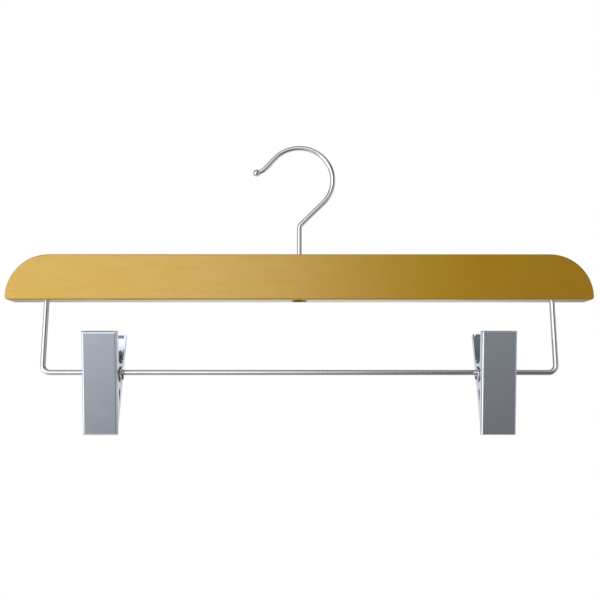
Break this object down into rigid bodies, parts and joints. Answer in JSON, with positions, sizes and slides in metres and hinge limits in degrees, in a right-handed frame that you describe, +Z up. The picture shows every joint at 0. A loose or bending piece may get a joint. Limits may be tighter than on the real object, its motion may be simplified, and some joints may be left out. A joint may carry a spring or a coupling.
{
  "type": "skirt hanger",
  "caption": "Clothes hanger with a flat lacquered bar, a swivelling wire hook and a wire rail that carries sprung metal clips for skirts or trousers.",
  "frame": {"origin": "where a closet rod carries the hook, on the inside of its crown", "axes": "+Z up, +X along the bar, -Y the front, as seen in the picture"},
  "size_m": [0.355, 0.0292, 0.1792],
  "materials": {
    "gold_lacquer": "satin gold lacquer",
    "chrome": "bright chrome plate",
    "spring_steel": "drawn wire",
    "zinc": "zinc plated",
    "vinyl": "soft vinyl, matt"
  },
  "bodies": {
    "hook": {"hook": "chrome"},
    "frame": {"bar": "gold_lacquer", "rail": "chrome", "hook_washer": "zinc"},
    "left_slider": {"left_pivot_tube": "chrome"},
    "left_front": {"left_front_jaw": "chrome", "left_front_pad": "vinyl", "left_spring": "spring_steel"},
    "left_rear": {"left_rear_jaw": "chrome", "left_rear_pad": "vinyl"},
    "right_slider": {"right_pivot_tube": "chrome"},
    "right_front": {"right_front_jaw": "chrome", "right_front_pad": "vinyl", "right_spring": "spring_steel"},
    "right_rear": {"right_rear_jaw": "chrome", "right_rear_pad": "vinyl"}
  },
  "joints": [
    {"name": "hook_swivel", "type": "hinge", "parent": "hook", "child": "frame", "pos_m": [0, 0, -0.0683], "axis": [0, 0, 1], "continuous": true},
    {"name": "left_clip_slide", "type": "slide", "parent": "frame", "child": "left_slider", "axis": [1, 0, 0], "range_m": [-0.022, 0.21]},
    {"name": "left_clip_swing", "type": "hinge", "parent": "left_slider", "child": "left_front", "pos_m": [-0.117, 0, -0.1408], "axis": [1, 0, 0], "continuous": true},
    {"name": "left_clip_grip", "type": "hinge", "parent": "left_front", "child": "left_rear", "pos_m": [-0.117, 0, -0.1408], "axis": [1, 0, 0], "range_deg": [0, 42], "stiffness_Nm_per_rad": 0.12, "springref_deg": -34.38, "deforming": ["left_spring"]},
    {"name": "right_clip_slide", "type": "slide", "parent": "frame", "child": "right_slider", "axis": [1, 0, 0], "range_m": [-0.21, 0.022]},
    {"name": "right_clip_swing", "type": "hinge", "parent": "right_slider", "child": "right_front", "pos_m": [0.117, 0, -0.1408], "axis": [1, 0, 0], "continuous": true},
    {"name": "right_clip_grip", "type": "hinge", "parent": "right_front", "child": "right_rear", "pos_m": [0.117, 0, -0.1408], "axis": [1, 0, 0], "range_deg": [0, 42], "stiffness_Nm_per_rad": 0.12, "springref_deg": -34.38, "deforming": ["right_spring"]}
  ]
}
